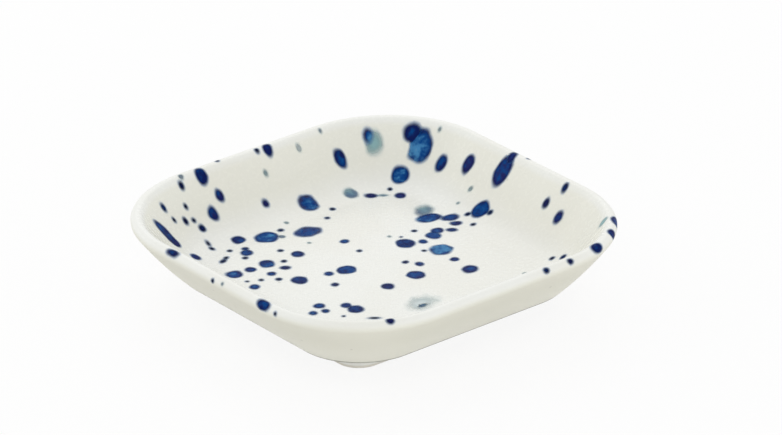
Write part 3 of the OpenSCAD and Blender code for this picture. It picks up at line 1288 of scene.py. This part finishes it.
PALE_DROPS = (
    (0.652, 0.803, 0.80, Wash.GREY, 1.0, -105, 0.7, 0.25),
    (0.395, 0.67, 0.68, Wash.SLATE, 1.05, -90, 0.4, -0.4), (0.52, 0.57, 0.30, Wash.SLATE, 2.0, -39, 0.7),
    (0.563, 0.306, 0.98, Wash.BLUISH, 1.4, 45, 0.9, 0.2),
    (-0.09, -0.47, 1.35, Wash.FAINT, 1.4, 4, 1.0), (-0.1, -0.49, 0.58, Wash.SLATE, 1.5, 4, 1.0),
    (-0.15, 0.53, 0.30, Wash.SLATE), (0.82, -0.74, 0.44, Wash.GREY, 1.2, 20, 0.8), (0.49, -0.55, 0.24),
    (-0.55, -0.52, 0.50, Wash.WATERY, 1.0, 0.0, 0.6), (0.20, -0.60, 0.34, Wash.WATERY, 1.0, 0.0, 0.6),
    (0.42, 0.94, 0.15, Wash.SLATE), (0.26, 0.91, 0.24, Wash.FAINT), (0.02, 0.87, 0.20), (-0.04, 0.63, 0.20),
    (0.79, 0.22, 0.20), (0.25, 0.19, 0.18, Wash.WATERY), (-0.09, 0.39, 0.17), (0.90, 0.59, 0.14),
    (-1.0, -0.10, 0.17, Wash.SLATE), (0.71, 0.22, 0.15), (-0.44, 0.95, 0.22, Wash.SLATE),
)


@dataclass(frozen=True)
class Lamp:
    """A square soft lamp that faces the dish."""

    name: str
    place: tuple[float, float, float]
    size: float
    power: float

    def build(self) -> None:
        """Hangs the lamp."""
        data = bpy.data.lights.new(self.name, "AREA")
        data.shape = "SQUARE"
        data.size = self.size
        data.energy = self.power
        lamp = bpy.data.objects.new(self.name, data)
        lamp.location = self.place
        lamp.rotation_mode = "QUATERNION"
        lamp.rotation_quaternion = (-Vector(self.place)).to_track_quat("-Z", "Y")
        bpy.context.scene.collection.objects.link(lamp)


@dataclass(frozen=True)
class Studio:
    """A white floor, soft lamps, light from all round, and the photograph's camera."""

    image_w: float = 782.0
    image_h: float = 435.0
    azimuth: float = math.radians(-38.58)
    elevation: float = math.radians(26.445)
    roll: float = math.radians(0.83)
    distance: float = 1.3
    focal_px: float = 5970.3
    foot_px: tuple[float, float] = (374.4, 293.05)
    sensor: float = 36.0
    clip: Span = (0.05, 50.0)
    floor_half: float = 6.0
    floor_gap: float = 0.02 * MM
    floor_colour: Colour = (0.94, 0.94, 0.935, 1.0)
    seen_white_share: float = 0.87
    dome: float = 0.8
    lamps: tuple[Lamp, ...] = (
        Lamp("back_lamp", (0.5, 0.6, 0.8), 0.9, 2.1),
        Lamp("left_lamp", (-0.5, 0.8, 0.45), 0.7, 1.5),
        Lamp("right_lamp", (0.3, -1.0, 0.2), 0.5, 0.9),
        Lamp("front_lamp", (-0.5, -1.0, 0.08), 0.3, 1.3),
    )

    def build(self) -> None:
        """Makes the floor, the light and the camera."""
        self._floor()
        self._world()
        for lamp in self.lamps:
            lamp.build()
        self._camera()

    @staticmethod
    def _seen(make: NodeMaker) -> Wire:
        """Tells the rays that show the background: straight, in a reflection or through something clear.

        Args:
            make: The maker of the floor's or the world's tree.

        Returns:
            One on those rays, else zero.
        """
        path = make.node("ShaderNodeLightPath", None, None, "Is Camera Ray")
        seen = make.math("MAXIMUM", path, path.out("Is Glossy Ray"))
        return make.math("MAXIMUM", seen, path.out("Is Transmission Ray"))

    def _floor(self) -> None:
        """A wide white floor, a hair under the foot, that keeps the dish's shadow."""
        mesh = bpy.data.meshes.new("studio_floor")
        ways = ((-1, -1), (1, -1), (1, 1), (-1, 1))
        corners = [(x * self.floor_half, y * self.floor_half, -self.floor_gap) for x, y in ways]
        mesh.from_pydata(corners, [], [(0, 1, 2, 3)])
        floor = bpy.data.objects.new("studio_floor", mesh)
        bpy.context.scene.collection.objects.link(floor)
        paint = Surface("studio_floor")
        matt = paint.node("ShaderNodeBsdfDiffuse", None, {"Color": self.floor_colour})
        white = paint.node("ShaderNodeEmission", None, {"Color": WHITE, "Strength": 1.0})
        share = self._seen(paint) * self.seen_white_share
        shader = paint.node("ShaderNodeMixShader", None, {0: share, 1: matt, 2: white})
        paint.node("ShaderNodeOutputMaterial", None, {"Surface": shader})
        mesh.materials.append(paint.material)

    def _world(self) -> None:
        """Even light from all round, seen as white."""
        world = bpy.data.worlds.new("studio_light")
        world.use_nodes = True
        world.node_tree.nodes.clear()
        make = NodeMaker(world.node_tree)
        strength = self.dome + self._seen(make) * (1 - self.dome)
        light = make.node("ShaderNodeBackground", None, {"Color": WHITE, "Strength": strength})
        make.node("ShaderNodeOutputWorld", None, {"Surface": light})
        bpy.context.scene.world = world

    def _camera(self) -> None:
        """The camera that the photograph was taken with, as worked out from the dish's outline."""
        back = Vector((math.sin(self.azimuth) * math.cos(self.elevation),
                       -math.cos(self.azimuth) * math.cos(self.elevation), math.sin(self.elevation)))
        level = Vector((math.cos(self.azimuth), math.sin(self.azimuth), 0))
        upright = back.cross(level)
        right = level * math.cos(self.roll) - upright * math.sin(self.roll)
        up = upright * math.cos(self.roll) + level * math.sin(self.roll)
        pixel = self.distance / self.focal_px
        sideways = right * (self.image_w / 2 - self.foot_px[0]) * pixel
        aim = sideways + up * (self.foot_px[1] - self.image_h / 2) * pixel
        eye = back * self.distance
        facing = (eye - aim).normalized()
        right = up.cross(facing).normalized()
        up = facing.cross(right)
        data = bpy.data.cameras.new("camera")
        data.sensor_width = self.sensor
        data.lens = self.focal_px / self.image_w * self.sensor
        data.clip_start, data.clip_end = self.clip
        camera = bpy.data.objects.new("camera", data)
        camera.matrix_world = Matrix((right, up, facing)).transposed().to_4x4()
        camera.location = eye
        bpy.context.scene.collection.objects.link(camera)
        bpy.context.scene.camera = camera


def dress_clay_body(finish: BareClay) -> None:
    """Gives the clay body, which the coats cover, its own finish.

    Args:
        finish: The clay.
    """
    node = frame["nodes"]["clay_body"]
    material = finish.material("body_clay")
    if not node.material_slots:
        node.data.materials.append(material)
    for slot in node.material_slots:
        slot.material = material
    LOG.info("clay_body: the packed solid, in %s", material.name)


def main() -> None:
    """Builds the dish and its studio."""
    logging.basicConfig(level=logging.INFO, format="%(name)s: %(message)s")
    bpy.context.scene.view_settings.view_transform = "Standard"
    shape = DishShape()
    sweep = RoundedSquareSweep()
    glaze = WhiteGlaze()
    clay = BareClay()

    coat = WhiteCoat(shape, glaze)
    coat.dress(coat.build(sweep))
    foot = Foot(shape, clay, glaze)
    foot.dress(foot.build(sweep))
    dress_clay_body(clay)

    cobalt = DropGlaze(
        "cobalt_glaze", deep=tint(3, 26, 84), violet=tint(40, 38, 96), middle=tint(6, 66, 132),
        light=tint(70, 134, 184), watery=tint(140, 170, 178), fringe=tint(72, 130, 188),
        black=tint(10, 18, 42), cloud_share=0.8, patch_share=1.6, core_share=0.12, rim_share=0.55,
        black_share=0.85)
    pale = DropGlaze(
        "pale_cobalt_glaze", deep=tint(88, 116, 146), violet=tint(100, 116, 142), middle=tint(140, 177, 180),
        light=tint(190, 208, 210), watery=tint(214, 222, 222), fringe=tint(180, 202, 210),
        black=tint(120, 128, 132), cloud_share=0.5, patch_share=0.3, core_share=0.0, rim_share=0.15,
        black_share=0.6)
    dark_drops = drops_of(FLOOR_DROPS + BEND_DROPS + NEAR_DROPS, Ink.NAVY)
    dark_drops += drops_of(WALL_DROPS + LIP_DROPS, Ink.INDIGO)
    pale_drops = drops_of(PALE_DROPS, Wash.GREY)
    spatters = (
        Spatter("cobalt_spatter", "cobalt_drops", Slot.COBALT, cobalt, dark_drops, lift=0.024 * MM, seed=11),
        Spatter("pale_spatter", "pale_washes", Slot.PALE, pale, pale_drops, lift=0.018 * MM, seed=12),
    )
    lens = DropLens()
    for spatter in spatters:
        spatter.dress(spatter.build(lens, coat))
    Studio().build()


if __name__ == "__main__":
    main()
